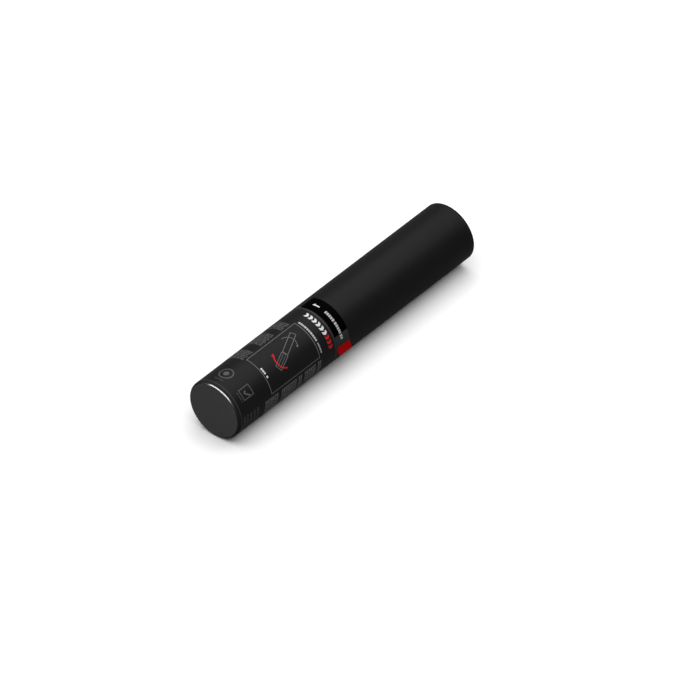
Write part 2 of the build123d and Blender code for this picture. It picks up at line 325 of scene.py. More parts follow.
sky = bpy.data.worlds.new("studio")
sky.use_nodes = True
sky.node_tree.nodes.clear()
bpy.context.scene.world = sky
sky_tree = Tree(sky.node_tree)
sky_fill = sky_tree.node("Background", {}, {"Color": paint(1.0), "Strength": SKY_FILL})
sky_shown = sky_tree.node("Background", {}, {"Color": paint(1.0), "Strength": SKY_SHOWN})
sky_mix = sky_tree.node("MixShader", {}, {0: seen(sky_tree), 1: sky_fill, 2: sky_shown})
sky_tree.node("OutputWorld", {}, {"Surface": sky_mix})
bpy.context.scene.view_settings.view_transform = "Standard"
print("lamps:", key_lamp.name, rim_lamp.name)

# %% [markdown]
# ## Making pieces
# Almost every piece of the popper is round, so one helper turns an outline about the tube's axis with spin.
# Its sharp corners then get a small bevel: real edges are never knife sharp, and the narrow face
# catches the light. A weighted normal keeps the large flat faces flat beside those narrow ones.

# %% Pieces
SHARP_ANGLE = math.radians(38.0)


def piece(name, shape, finish, body=None, nodes=()):
    """Makes an object of a bmesh, gives it its finish, and ties it to the frame."""
    mesh = bpy.data.meshes.new(name)
    shape.to_mesh(mesh)
    shape.free()
    for face in mesh.polygons:
        face.use_smooth = True
    mesh.set_sharp_from_angle(angle=SHARP_ANGLE)
    mesh.materials.append(finish.material)
    made = bpy.data.objects.new(name, mesh)
    bpy.context.scene.collection.objects.link(made)
    if body:
        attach(made, body)
    if nodes:
        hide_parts(*nodes)
    print(name, "faces:", len(mesh.polygons))
    return made


def even_normals(made):
    """Flat faces stay flat in the shading, however narrow the faces next to them are."""
    weights = made.modifiers.new("even_normals", "WEIGHTED_NORMAL")
    weights.mode = "FACE_AREA"
    weights.keep_sharp = True


print("piece helpers ready")

# %% Turned shapes
CORNER_ANGLE = math.radians(50.0)
MERGED = 1e-7


def turned(outline, edge=0.0, steps=192, start=0.0, arc=360.0):
    """A shape turned about the tube's axis from a closed outline of stations and radii.

    The angle starts at the top and grows towards -Y."""
    shape = bmesh.new()
    ring = [shape.verts.new((x, 0.0, radius)) for x, radius in outline]
    for first, second in zip(ring, ring[1:] + ring[:1]):
        shape.edges.new((first, second))
    bmesh.ops.rotate(
        shape, cent=(0, 0, 0), verts=shape.verts, matrix=Matrix.Rotation(math.radians(start), 3, "X"))
    whole = arc == 360.0
    bmesh.ops.spin(
        shape, geom=shape.verts[:] + shape.edges[:], cent=(0, 0, 0), axis=(1, 0, 0),
        angle=math.radians(arc), steps=steps, use_merge=whole)
    bmesh.ops.remove_doubles(shape, verts=shape.verts, dist=MERGED)
    bmesh.ops.dissolve_degenerate(shape, edges=shape.edges, dist=MERGED)
    if not whole:
        bmesh.ops.holes_fill(shape, edges=shape.edges, sides=len(outline))
    bmesh.ops.recalc_face_normals(shape, faces=shape.faces)
    if edge:
        closed = [e for e in shape.edges if len(e.link_faces) == 2]
        corners = [e for e in closed if e.calc_face_angle() > CORNER_ANGLE]
        bmesh.ops.bevel(
            shape, geom=corners, offset=edge, affect="EDGES", segments=3, profile=0.5, material=-1,
            clamp_overlap=True)
    bmesh.ops.translate(shape, vec=(0.0, 0.0, axis_height), verts=shape.verts)
    return shape


print("turning ready")

# %% [markdown]
# ## Barrel
# The barrel is a tube wound from strips of board, with black paper round the outside. The paper is matt, with
# a fine grain and a butt seam that climbs round the tube, and it wears grey at the two ends. Cut through,
# the tube shows the plies of brown board. One finish holds both: the distance from the axis tells
# the paper from the board.

# %% Barrel finish
SEAM_LEAD = 105.0 * MM
PLIES = 9000.0


def wrapped_card(name, start, end, radius):
    """Brown board in plies under matt black paper."""
    finish = Finish(name, {"Specular IOR Level": 0.16})
    x, away, angle = finish.tube()
    grain = finish.noise(1500.0, 4.0)
    cloud = finish.noise(45.0, 2.0)
    turns = angle / (2 * math.pi)
    climb = (x / SEAM_LEAD - turns).maths("FRACT")
    seam = finish.step((climb - 0.5).maths("ABSOLUTE"), 0.4968, 0.4992)
    paper = finish.mix(cloud, paint(0.0056), paint(0.0082))
    paper = finish.mix(finish.step(grain, 0.5, 0.75) * 0.3, paper, paint(0.014, 0.0135, 0.013))
    paper = finish.mix(seam * 0.7, paper, paint(0.004))
    to_end = (x - start).maths("MINIMUM", end - x)
    worn = 1.0 - finish.step(to_end, 0.1 * MM, 0.9 * MM)
    worn = worn * finish.step(finish.noise(700.0, 5.0), 0.42, 0.62)
    paper = finish.mix(worn * 0.55, paper, paint(0.10, 0.095, 0.09))
    plies = (away * PLIES).maths("SINE") * 0.5 + 0.5
    board = finish.mix(plies * grain, paint(0.20, 0.135, 0.08), paint(0.34, 0.25, 0.16))
    inside = 1.0 - finish.step(away, radius - 0.32 * MM, radius - 0.26 * MM)
    finish.feed("Base Color", finish.mix(inside, paper, board))
    finish.feed("Roughness", 0.40 + cloud * 0.08 + inside * 0.35)
    finish.bump(grain * 0.5 - seam * 1.5 + finish.noise(320.0, 2.0) * 0.6, 0.35, 0.06 * MM)
    return finish


barrel_bore, barrel_radius = reach("barrel_tube")
barrel_start, barrel_end = span("barrel_tube")
barrel_card = wrapped_card("barrel_card", barrel_start, barrel_end, barrel_radius)
print("barrel radius", round(barrel_radius / MM, 3), "bore", round(barrel_bore / MM, 3))

# %% Barrel
barrel_wrap = piece(
    "barrel_wrap",
    turned(
        [
            (barrel_start, barrel_bore), (barrel_start, barrel_radius),
            (barrel_end, barrel_radius), (barrel_end, barrel_bore),
        ],
        edge=0.25 * MM),
    barrel_card, "barrel", ["barrel_tube"])
even_normals(barrel_wrap)

# %% [markdown]
# ## Grip label
# The label is a sheet of black film, once round the grip, that meets itself in a narrow seam underneath.
# It is a little smoother than the barrel's paper and shows a faint haze from handling. The printing comes
# later, as thin layers of ink on top.

# %% Label finish
label_inner, label_radius = reach("grip_label")
label_start, label_end = span("grip_label")


def label_film():
    """Black film with a haze, fine rubbed lines along the tube, and a painted highlight along the cut ends.
    """
    finish = Finish("label_film", {"Specular IOR Level": 0.165})
    x = finish.tube()[0]
    haze = finish.noise(38.0, 3.0)
    fine = finish.noise(2600.0, 2.0)
    rub = finish.step(finish.noise(900.0, 3.0, (0.12, 1.0, 1.0)), 0.66, 0.8)
    film = finish.mix(haze, paint(0.0062), paint(0.0092))
    film = finish.mix(rub * 0.3, film, paint(0.018))
    to_end = (x - label_start).maths("MINIMUM", label_end - x)
    # painted highlight: the film is painted paler near its two cut ends
    film = finish.mix((1.0 - finish.step(to_end, 0.4 * MM, 1.0 * MM)) * 0.7, film, paint(0.075))
    finish.feed("Base Color", film)
    finish.feed("Roughness", 0.39 + haze * 0.08 + rub * 0.1)
    finish.bump(fine * 0.5 + finish.noise(240.0, 2.0), 0.2, 0.04 * MM)
    return finish


label_finish = label_film()
print("label from", round(label_start / MM, 2), "to", round(label_end / MM, 2), "mm")

# %% Label
label_seam = 0.8 * MM
seam_angle = math.degrees(label_seam / label_inner)
piece(
    "grip_skin",
    turned(
        [
            (label_start, label_inner), (label_start, label_radius),
            (label_end, label_radius), (label_end, label_inner),
        ],
        start=180.0 + seam_angle / 2, arc=360.0 - seam_angle),
    label_finish, "grip", ["grip_label"])

# %% [markdown]
# ## Base cap and muzzle cap
# Both caps are black mouldings. The flat face of the base cap is finely textured and painted a shade paler,
# as painted reflection of the white table, and its rim is polished. The rim is drawn in the outline as three
# bends: a tight one at the face, a nearly flat one that holds the bright line, and a round one into the side,
# which is painted a little paler as painted sheen. A plain bevel would hold that line only as a hair. The
# muzzle cap is matt, to go with the paper of the barrel, and its rim is painted blacker than its face, as
# painted shade.

# %% Rims
def rim_turn(bends, count=8):
    """Points of a rim's outline, from the flat face to the side: how far back and how far out each one lies.

    A bend is a radius and the tilt, in degrees, at which it ends."""
    points = [(0.0, 0.0)]
    first = 0.0
    for radius, last in bends:
        back, out = points[-1]
        for number in range(1, count + 1):
            tilt = math.radians(first + (last - first) * number / count)
            points.append((
                back + radius * (math.cos(math.radians(first)) - math.cos(tilt)),
                out + radius * (math.sin(tilt) - math.sin(math.radians(first))),
            ))
        first = last
    return points


RIM_LAND = 0.2 * MM
BACK_CHAMFER = 0.15 * MM
cap_start, cap_end = span("base_cap")
cap_radius = reach("base_cap")[1]
cap_bends = ((0.3 * MM, 23.0), (4.0 * MM, 39.0), (2.2 * MM, 90.0))
cap_turn = rim_turn(cap_bends)
cap_edge = cap_radius - cap_turn[-1][1]
polished_end = cap_start + rim_turn(cap_bends[:2])[-1][0]
print("base cap's rim:", [round(size / MM, 3) for size in cap_turn[-1]], "mm back and out")

# %% Base cap finish
def base_plastic():
    """Textured face painted paler (painted reflection); black, polished rim; side painted a touch paler
    (painted sheen).
    """
    finish = Finish("base_plastic", {"Specular IOR Level": 0.08, "Coat Roughness": 0.15})
    x, away = finish.tube()[:2]
    mottle = finish.noise(160.0, 4.0)
    texture = finish.noise(2400.0, 2.0)
    border = finish.step(x, cap_start + 0.02 * MM, cap_start + 0.12 * MM)
    rounding = finish.step(away, cap_edge, cap_edge + 0.1 * MM)
    side = finish.step(x, polished_end, polished_end + 0.15 * MM)
    # painted reflection: the face's paler grey stands in for the white table seen in glossy black plastic
    face = finish.mix(texture * 0.5 + mottle * 0.5, paint(0.090), paint(0.108))
    black = finish.mix(mottle, paint(0.0020), paint(0.0040))
    # painted sheen: the side is painted a little paler in place of its shine
    black = finish.mix(side, black, paint(0.014))
    finish.feed("Base Color", finish.mix(border, face, black))
    finish.feed("Roughness", 0.30 + side * 0.25 + mottle * 0.05)
    finish.feed("Coat Weight", rounding * (1.0 - side) * 0.5)
    finish.bump(texture * (1.0 - border) + finish.noise(420.0, 2.0) * 0.5, 0.08, 0.03 * MM)
    return finish


cap_finish = base_plastic()
print("finish:", cap_finish.material.name)

# %% Base cap
def station(distance):
    """X of a place that lies some millimetres from the base face, along the tube."""
    return cap_start + distance * MM


cap_cup = 19.2 * MM
cap_spigot = reach("cylinder_collar")[1]
cap_floor = station(2.2)
cap_flange = span("grip_tube")[0]
base_moulding = piece(
    "base_moulding",
    turned(
        [(cap_floor, 0.0), (cap_start, 0.0), (cap_start, cap_edge - RIM_LAND)]
        + [(cap_start + back, cap_edge + out) for back, out in cap_turn]
        + [
            (cap_flange - BACK_CHAMFER, cap_radius), (cap_flange, cap_radius - BACK_CHAMFER),
            (cap_flange, cap_spigot), (cap_end, cap_spigot), (cap_end, cap_cup), (cap_floor, cap_cup),
        ]),
    cap_finish, "grip", ["base_cap"])
even_normals(base_moulding)
rim_group = bpy.data.collections.new("lit_by_rim_lamp")
rim_group.objects.link(base_moulding)
rim_lamp.light_linking.receiver_collection = rim_group

# %% Muzzle cap finish
muzzle_radius = reach("muzzle_cap")[1]


def muzzle_plastic():
    """Matt black with a fine texture; the rim rougher and painted blacker, as painted shade."""
    finish = Finish("muzzle_plastic", {"Specular IOR Level": 0.14})
    away = finish.tube()[1]
    mottle = finish.noise(160.0, 4.0)
    texture = finish.noise(2400.0, 2.0)
    # painted shade: the rim is painted blacker to stand for the dark shade along the cap's edge
    border = finish.step(away, muzzle_radius - 2.0 * MM, muzzle_radius - 1.8 * MM)
    face = finish.mix(mottle, paint(0.0050), paint(0.0080))
    finish.feed("Base Color", finish.mix(border, face, paint(0.0010)))
    finish.feed("Roughness", 0.42 + mottle * 0.10 + border * 0.3)
    finish.bump(texture, 0.12, 0.03 * MM)
    return finish


muzzle_finish = muzzle_plastic()
print("finish:", muzzle_finish.material.name)

# %% Muzzle cap
plug_start, muzzle_face = span("muzzle_cap")
plug_bore = 21.75 * MM
plug_radius = barrel_bore - 0.15 * MM
muzzle_rim = 0.8 * MM
muzzle_edge = muzzle_radius - muzzle_rim
muzzle_turn = rim_turn([(muzzle_rim, 90.0)])
muzzle_ceiling = muzzle_face - 1.2 * MM
muzzle_moulding = piece(
    "muzzle_moulding",
    turned(
        [
            (muzzle_ceiling, 0.0), (muzzle_ceiling, plug_bore), (plug_start, plug_bore),
            (plug_start, plug_radius - 0.4 * MM), (plug_start + 0.6 * MM, plug_radius),
            (barrel_end, plug_radius), (barrel_end, muzzle_radius - BACK_CHAMFER),
            (barrel_end + BACK_CHAMFER, muzzle_radius),
        ]
        + [(muzzle_face - back, muzzle_edge + out) for back, out in reversed(muzzle_turn)]
        + [(muzzle_face, muzzle_edge - RIM_LAND), (muzzle_face, 0.0)]),
    muzzle_finish, "cap", ["muzzle_cap"])
even_normals(muzzle_moulding)

# %% [markdown]
# ## Printed shapes
# The printing is real, thin ink. Its shapes are drawn flat, in millimetres, on a page that is the unrolled
# skin of the tube. Then bisect_plane cuts them into narrow strips, so that they can bend, they get a
# thickness, and each vertex goes to its place on the tube. The safety strip is made in the same way.

# %% Page
def page_place(x, y, turn):
    """Where a shape lies on the page, turned about its own middle by some degrees."""
    return Matrix.Translation((x, y, 0.0)) @ Matrix.Rotation(math.radians(turn), 4, "Z")


class Page:
    """Flat shapes, in millimetres: X is the distance from the base face, Y the way round from the top."""

    def __init__(self):
        self.shape = bmesh.new()

    def bar(self, x, y, length, width, turn=0.0):
        matrix = page_place(x, y, turn) @ Matrix.Diagonal((length, width, 1.0, 1.0))
        made = bmesh.ops.create_grid(self.shape, x_segments=1, y_segments=1, size=0.5, matrix=matrix)
        return made["verts"]

    def plate(self, x, y, length, width, corners):
        """A bar with rounded corners; each corner has its own radius."""
        for vert, radius in zip(self.bar(x, y, length, width), corners):
            if radius:
                bmesh.ops.bevel(
                    self.shape, geom=[vert], offset=radius, affect="VERTICES", segments=5, profile=0.5,
                    material=-1)

    def outline(self, x, y, length, width, line, turn=0.0):
        """A bar's border alone."""
        face = self.bar(x, y, length, width, turn)[0].link_faces[0]
        bmesh.ops.inset_region(
            self.shape, faces=[face], thickness=line, use_even_offset=True, use_boundary=True)
        bmesh.ops.delete(self.shape, geom=[face], context="FACES")

    def ring(self, x, y, radius, line, start=0.0, arc=360.0):
        way = Vector((math.cos(math.radians(start)), math.sin(math.radians(start)), 0.0))
        middle = Vector((x, y, 0.0))
        near = self.shape.verts.new(middle + way * (radius - line / 2))
        far = self.shape.verts.new(middle + way * (radius + line / 2))
        edge = self.shape.edges.new((near, far))
        bmesh.ops.spin(
            self.shape, geom=[near, far, edge], cent=middle, axis=(0, 0, 1), angle=math.radians(arc),
            steps=max(6, int(arc / 9)), use_merge=arc == 360.0)

    def disc(self, x, y, radius, sides=28, turn=0.0):
        """A filled circle, or with three sides an arrow head."""
        matrix = page_place(x, y, turn)
        bmesh.ops.create_circle(self.shape, cap_ends=True, radius=radius, segments=sides, matrix=matrix)

    def chevron(self, x, y, height, width, lean):
        """Two leaning bars that meet in a point, which shows the way to turn."""
        for side in (-1, 1):
            for vert in self.bar(x + side * height / 4, y, height / 2, width):
                vert.co.y -= lean * abs(vert.co.x - x)


print("page ready")

# %% Film
def formed(page, place, thickness, pitch=1.0):
    """The shapes of a page as solid film, cut into strips of a pitch and put in place.

    The function place() takes a station, a way round and a height, in metres. The attribute "way" keeps the
    way round for each vertex."""
    shape = page.shape
    bmesh.ops.remove_doubles(shape, verts=shape.verts, dist=1e-4)
    low = min(vert.co.y for vert in shape.verts)
    high = max(vert.co.y for vert in shape.verts)
    for cut in range(math.ceil(low / pitch), math.floor(high / pitch) + 1):
        everything = shape.verts[:] + shape.edges[:] + shape.faces[:]
        bmesh.ops.bisect_plane(shape, geom=everything, plane_co=(0, cut * pitch, 0), plane_no=(0, 1, 0))
    grown = bmesh.ops.extrude_face_region(shape, geom=shape.faces[:], use_keep_orig=True)
    upper = [vert for vert in grown["geom"] if isinstance(vert, bmesh.types.BMVert)]
    bmesh.ops.translate(shape, vec=(0, 0, thickness), verts=upper)
    way = shape.verts.layers.float.new("way")
    for vert in shape.verts:
        vert[way] = vert.co.y
        vert.co = place(station(vert.co.x), vert.co.y * MM, vert.co.z * MM)
    bmesh.ops.recalc_face_normals(shape, faces=shape.faces)
    return shape


def rolled(page, radius, thickness):
    """The shapes of a page bent round the tube, on top of a radius."""

    def place(x, way, height):
        angle = way / radius
        return x, -math.sin(angle) * (radius + height), axis_height + math.cos(angle) * (radius + height)

    return formed(page, place, thickness)


print("film ready")

# %% [markdown]
# ## Inks
# A few inks are enough: three greys, two whites and a red. Ink soaks in unevenly, so each one varies a little
# in colour and shine. Blocks of plain dashes give the label its fine lines, and the wide band at the top of
# the grip holds a row of chevrons that point the way to twist.

# %% Inks
def ink(name, colour, dark):
    """Printing ink between two shades of its colour."""
    finish = Finish(name, {"Specular IOR Level": 0.12})
    spread = finish.noise(1100.0, 3.0)
    finish.feed("Base Color", finish.mix(spread, dark, colour))
    finish.feed("Roughness", 0.38 + spread * 0.2)
    finish.bump(spread, 0.15, 0.02 * MM)
    return finish


bright_grey = ink("bright_grey_ink", paint(0.20), paint(0.14))
dim_grey = ink("dim_grey_ink", paint(0.13), paint(0.08))
faint_grey = ink("faint_grey_ink", paint(0.085), paint(0.055))
white_ink = ink("white_ink", paint(0.86), paint(0.72))
pale_ink = ink("pale_ink", paint(0.60), paint(0.45))
red_ink = ink("red_ink", paint(0.74, 0.022, 0.024), paint(0.58, 0.012, 0.014))
print("inks ready")

# %% [markdown]
# ## Print on the label
# A thin frame holds a simple picture of how the popper is used: a tube in two parts, with a curved arrow for
# the twist of each, the grip's in red. Round it lie blocks of dashes, a plain ring and a ticked box. All
# lines run round the tube, and the dashes come from a seeded generator, so every run prints the same label.

# %% Dashes
INK_GAP = 0.01 * MM
# These two are in millimetres, as all shapes on a page are
INK_DEPTH = 0.03
LEAST_DASH = 0.8
dash_lengths = random.Random(11)


def dashes(page, x, y, length, line, shortest=1.4, longest=4.6, gap=0.7):
    """A line of plain dashes of uneven length, round the tube."""
    done = 0.0
    while done < length - LEAST_DASH:
        dash = min(dash_lengths.uniform(shortest, longest), length - done)
        page.bar(x, y + done + dash / 2, line, dash)
        done += dash + gap


def block(page, first, last, y, length, line, pitch):
    """Lines of dashes side by side, from one station to another."""
    for number in range(int((last - first) / pitch + 0.5)):
        dashes(page, first + (number + 0.5) * pitch, y, length, line)


def print_label(name, page, finish):
    """One ink's layer on the label."""
    piece(name, rolled(page, label_radius + INK_GAP, INK_DEPTH), finish, "grip")


print("dashes ready")

# %% Frame and picture
picture_turn = -25.0
picture_way = Matrix.Rotation(math.radians(picture_turn), 3, "Z")
picture_middle = Vector((71.0, 13.2, 0.0))
thin_line = 0.5
half_arc = 65.0
arc_share = math.cos(math.radians(half_arc))


def on_picture(along, across):
    """A point of the picture, which leans across the label."""
    place = picture_middle + picture_way @ Vector((along, across, 0.0))
    return place.x, place.y


frame_print = Page()
frame_print.outline(67.6, 17.1, 57.2, 35.8, 0.55)
frame_print.outline(*on_picture(-11.0, 0.0), 14.0, 6.4, thin_line, picture_turn)
frame_print.outline(*on_picture(7.0, 0.0), 21.0, 5.2, thin_line, picture_turn)
for across in (-1.1, 1.1):
    frame_print.bar(*on_picture(-11.0, across), 11.0, 0.4, picture_turn)
frame_print.ring(*on_picture(5.0, 0.0), 7.4, thin_line, picture_turn - half_arc, 2 * half_arc)
frame_print.disc(*on_picture(5.0 + 7.4 * arc_share, 6.7), 1.3, 3, picture_turn + 155.0)
print_label("picture_ink", frame_print, bright_grey)

# %% Blocks of dashes
small_print = Page()
for first, last in ((37.2, 50.0), (58.8, 76.0), (82.5, 93.0)):
    block(small_print, first, last, -26.0, 23.3, 1.25, 2.1)
wide_print = Page()
for first, last in ((31.0, 47.6), (50.4, 68.2), (70.2, 74.8), (77.4, 91.0), (93.0, 97.0)):
    block(wide_print, first, last, 37.6, 28.0, 1.5, 2.25)
print_label("wide_ink", wide_print, bright_grey)

# %% Ring, box and faint dashes
small_print.ring(17.2, -2.1, 5.6, 1.0)
small_print.disc(17.2, -2.1, 2.4)
small_print.outline(17.0, 20.2, 11.4, 9.4, 0.7)
small_print.bar(17.0, 22.2, 5.4, 1.3, 40.0)
small_print.bar(15.6, 19.4, 2.8, 1.3, -33.0)
print_label("small_ink", small_print, dim_grey)

faint_print = Page()
for x in (7.0, 10.6, 14.6, 18.6, 22.6):
    dashes(faint_print, x, 37.0, 18.0, 1.7)
dashes(faint_print, 8.8, -7.0, 9.0, 0.8)
dashes(faint_print, 9.2, 16.2, 8.6, 0.8)
print_label("faint_ink", faint_print, faint_grey)

# %% White and red print
white_print = Page()
for y, length in ((12.4, 6.6), (19.8, 2.6)):
    dashes(white_print, 41.4, y, length, 1.5, 1.2, 2.2, 0.4)
pale_print = Page()
dashes(pale_print, 98.8, 1.1, 20.6, 1.7, 1.0, 2.4, 0.35)
dashes(pale_print, 98.8, 23.4, 9.2, 1.3, 0.8, 1.6, 0.6)
red_print = Page()
for number in range(9):
    page = white_print if number < 6 else red_print
    page.chevron(109.4, 1.05 + 4.03 * number, 4.2, 2.3, 0.65)
red_print.ring(*on_picture(-7.0, 0.0), 8.6, 1.0, picture_turn + 130.0, 120.0)
red_print.disc(*on_picture(-7.0 - 8.6 * arc_share, -8.0), 1.9, 3, picture_turn + 20.0)
print_label("label_white", white_print, white_ink)
print_label("label_pale", pale_print, pale_ink)
print_label("label_red", red_print, red_ink)

# %% [markdown]
# ## Safety strip and pull tab
# A strip of film is stuck over the joint so that the grip can't turn before it is wanted. It is glossy and
# deep black, paler near the pull end. The red tab at its end bends away from the tube and stands free.

# %% Strip finishes
def printed_film(name, specular, ground, end_ground, change):
    """Glossy film that changes colour some way along; the two colours may be the same."""
    finish = Finish(name, {"Specular IOR Level": specular})
    way = finish.node("Attribute", {"attribute_name": "way"}, output="Fac")
    fine = finish.noise(1700.0, 3.0)
    ground_mix = finish.mix(fine, ground, paint(*[c * 1.35 for c in ground[:3]]))
    end_mix = finish.mix(fine, end_ground, paint(*[c * 1.5 for c in end_ground[:3]]))
    changed = finish.step(way, change - 0.08, change + 0.08)
    finish.feed("Base Color", finish.mix(changed, ground_mix, end_mix))
    finish.feed("Roughness", 0.35 + fine * 0.12)
    finish.bump(finish.noise(260.0, 2.0) + fine * 0.3, 0.15, 0.03 * MM)
    return finish


tab_red = paint(0.34, 0.002, 0.002)
strip_film = printed_film("strip_film", 0.01, paint(0.0006), paint(0.032, 0.033, 0.033), 28.7)
tab_film = printed_film("tab_film", 0.04, tab_red, tab_red, 3.0)
print("film finishes ready")

# %% Strip
strip_inner, strip_radius = reach("safety_strip")
strip_thickness = strip_radius - strip_inner
strip_low, strip_high = [(x - cap_start) / MM for x in span("safety_strip")]
strip_middle = (strip_low + strip_high) / 2
strip_width = strip_high - strip_low
strip_length = 50.0
strip_first = math.radians(-26.6) * strip_inner
strip_last = strip_first + strip_length * MM
peel_length = 7.0 * MM


def on_strip(way):
    """The point at the middle of the strip, some way round the tube from its top."""
    angle = way / strip_inner
    across, above = -math.sin(angle) * strip_inner, math.cos(angle) * strip_inner
    return Vector((station(strip_middle), across, axis_height + above))


strip_page = Page()
strip_page.bar(strip_middle, (strip_first + strip_last) / 2 / MM, strip_width, strip_length)
seal_strip = piece(
    "seal_strip", rolled(strip_page, strip_inner, strip_thickness / MM), strip_film,
    nodes=["safety_strip"])
strip_bend = (on_strip(strip_first), on_strip(strip_first + peel_length))
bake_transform(seal_strip)

# %% Tab
tab_length = 6.9
tab_corner = 0.8
tab_bend = 2.5 * MM
tab_bend_middle = tab_bend + strip_thickness / 2
tab_turn = math.radians(17.0)
tab_root = strip_last / strip_inner
tab_out = Vector((0.0, -math.sin(tab_root), math.cos(tab_root)))
tab_on = Vector((0.0, -math.cos(tab_root), -math.sin(tab_root)))


def on_tab(x, way, height):
    """A place on the tab, which bends outwards where the strip ends and runs straight from there."""
    turn = min(way / tab_bend_middle, tab_turn)
    past = way - turn * tab_bend_middle
    away = tab_bend + strip_thickness - height
    place = tab_out * (strip_radius + tab_bend - away * math.cos(turn) + past * math.sin(turn))
    place += tab_on * (away * math.sin(turn) + past * math.cos(turn))
    return place + Vector((x, 0.0, axis_height))


tab_page = Page()
tab_page.plate(strip_middle, tab_length / 2, strip_width, tab_length, (0.0, 0.0, tab_corner, tab_corner))
seal_tab = piece(
    "seal_tab", formed(tab_page, on_tab, strip_thickness / MM, 0.15), tab_film,
    nodes=["pull_tab"])
tab_middle = station(strip_middle)
on_tab(tab_middle, 0.0, 0.0)
on_tab(tab_middle, 3.0 * MM, 0.0)
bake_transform(seal_tab)

# %% Print on the strip
strip_print = Page()
strip_print.bar(122.6, -0.3, 1.2, 4.4)
strip_print.disc(122.6, -3.1, 1.7, 3, -90.0)
strip_line = Page()
for first, length in ((7.8, 10.0), (18.9, 9.6), (29.6, 4.4)):
    dashes(strip_line, 122.4, first, length, 2.4, 1.3, 2.0, 0.5)
for name, page, finish in (("strip_white", strip_print, white_ink), ("strip_pale", strip_line, pale_ink)):
    printed = piece(name, rolled(page, strip_radius + INK_GAP, INK_DEPTH), finish)
    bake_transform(printed)

# %% [markdown]
# ## Load
# The load is tissue cut in slips and stacked in bundles, eight colours in each pile. The CAD model has one
# solid for each bundle. Here every bundle is a pile of separate slips, each a thin box that lies a little
# askew, with its own shade held in an attribute that the finish reads.

# %% Paper finish
paper_colours = {
    entry["slot"].removeprefix("paper_"): entry["base_color"]
    for entry in frame["record"]["materials"] if entry["slot"].startswith("paper_")
}


def tissue(colour):
    """Dyed tissue with fibres along the slip, each slip in its own shade."""
    red, green, blue = paper_colours[colour]
    finish = Finish("tissue_" + colour, {"Specular IOR Level": 0.2})
    shade = finish.node("Attribute", {"attribute_name": "slip_shade"}, output="Fac")
    fibre = finish.noise(900.0, 4.0, (0.25, 1.0, 1.0))
    light = paint(*[min(1.0, c * 1.12 + 0.012) for c in (red, green, blue)])
    dark = paint(red * 0.72, green * 0.72, blue * 0.72)
    finish.feed("Base Color", finish.mix(shade * 0.6 + fibre * 0.4, dark, light))
    finish.feed("Roughness", 0.62 + fibre * 0.25)
    finish.bump(fibre, 0.2, 0.03 * MM)
    return finish


print("colours:", sorted(paper_colours))

# %% Bundles
def bundle_boxes(node):
    """The box of each separate solid of a CAD node."""
    shape = bmesh.new()
    shape.from_mesh(frame["nodes"][node].data)
    bmesh.ops.remove_doubles(shape, verts=shape.verts, dist=1e-6)
    left = set(shape.verts)
    boxes = []
    while left:
        front = [left.pop()]
        found = set(front)
        while front:
            vert = front.pop()
            for edge in vert.link_edges:
                near = edge.other_vert(vert)
                if near not in found:
                    found.add(near)
                    front.append(near)
        left -= found
        low = Vector([min(v.co[axis] for v in found) for axis in range(3)])
        high = Vector([max(v.co[axis] for v in found) for axis in range(3)])
        boxes.append((low, high))
    shape.free()
    return sorted(boxes, key=lambda box: tuple(round(c, 6) for c in box[0]))


for colour in sorted(paper_colours):
    print(colour, "bundles:", len(bundle_boxes("confetti_" + colour)))

# %% Slips
SLIPS = 12
SLIP_SHARE = 0.82
SLIP_MARGIN = 0.3 * MM


def slip_pile(node, seed):
    """All the slips of one colour."""
    askew = random.Random(seed)
    shape = bmesh.new()
    shade = shape.verts.layers.float.new("slip_shade")
    for low, high in bundle_boxes(node):
        size = high - low
        middle = (low + high) / 2
        pitch = size.z / SLIPS
        for number in range(SLIPS):
            place = Vector((
                middle.x + askew.uniform(-0.15, 0.15) * MM,
                middle.y + askew.uniform(-0.12, 0.12) * MM,
                low.z + pitch * (number + 0.5),
            ))
            matrix = Matrix.Translation(place)
            matrix = matrix @ Matrix.Rotation(math.radians(askew.uniform(-0.25, 0.25)), 4, "Z")
            matrix = matrix @ Matrix.Diagonal(
                (size.x - SLIP_MARGIN, size.y - SLIP_MARGIN, pitch * SLIP_SHARE, 1.0))
            tone = askew.random()
            for vert in bmesh.ops.create_cube(shape, size=1.0, matrix=matrix)["verts"]:
                vert[shade] = tone
    return shape


for seed, colour in enumerate(sorted(paper_colours)):
    node = "confetti_" + colour
    piece("slips_" + colour, slip_pile(node, seed), tissue(colour), "load", [node])

# %% [markdown]
# ## Piston and top card
# The piston behind the load is moulded in natural plastic, with a skirt that the gas presses against the
# bore, and a disc of grey board lies on top of the load. Both are turned, with small bevels.

# %% Piston
LOAD_STEPS = 128


def natural_moulding(name, colour, dark):
    """Plain moulded plastic: even colour with a slight flow pattern and a soft shine."""
    finish = Finish(name, {"Specular IOR Level": 0.4})
    flow = finish.noise(70.0, 3.0)
    fine = finish.noise(1900.0, 2.0)
    finish.feed("Base Color", finish.mix(flow, dark, colour))
    finish.feed("Roughness", 0.36 + flow * 0.14 + fine * 0.08)
    finish.bump(fine, 0.12, 0.03 * MM)
    return finish


wad_start, wad_end = span("wad")
wad_radius = reach("wad")[1]
wad_floor = wad_start + 6.0 * MM
wad_bore = wad_radius - 2.5 * MM
wad_plastic = natural_moulding("wad_plastic", paint(0.66, 0.66, 0.62), paint(0.56, 0.56, 0.52))
piston = piece(
    "piston",
    turned(
        [
            (wad_end, 0.0), (wad_floor, 0.0), (wad_floor, wad_bore), (wad_start, wad_bore),
            (wad_start, wad_radius), (wad_end, wad_radius),
        ],
        edge=0.4 * MM, steps=LOAD_STEPS),
    wad_plastic, "load", ["wad"])
even_normals(piston)

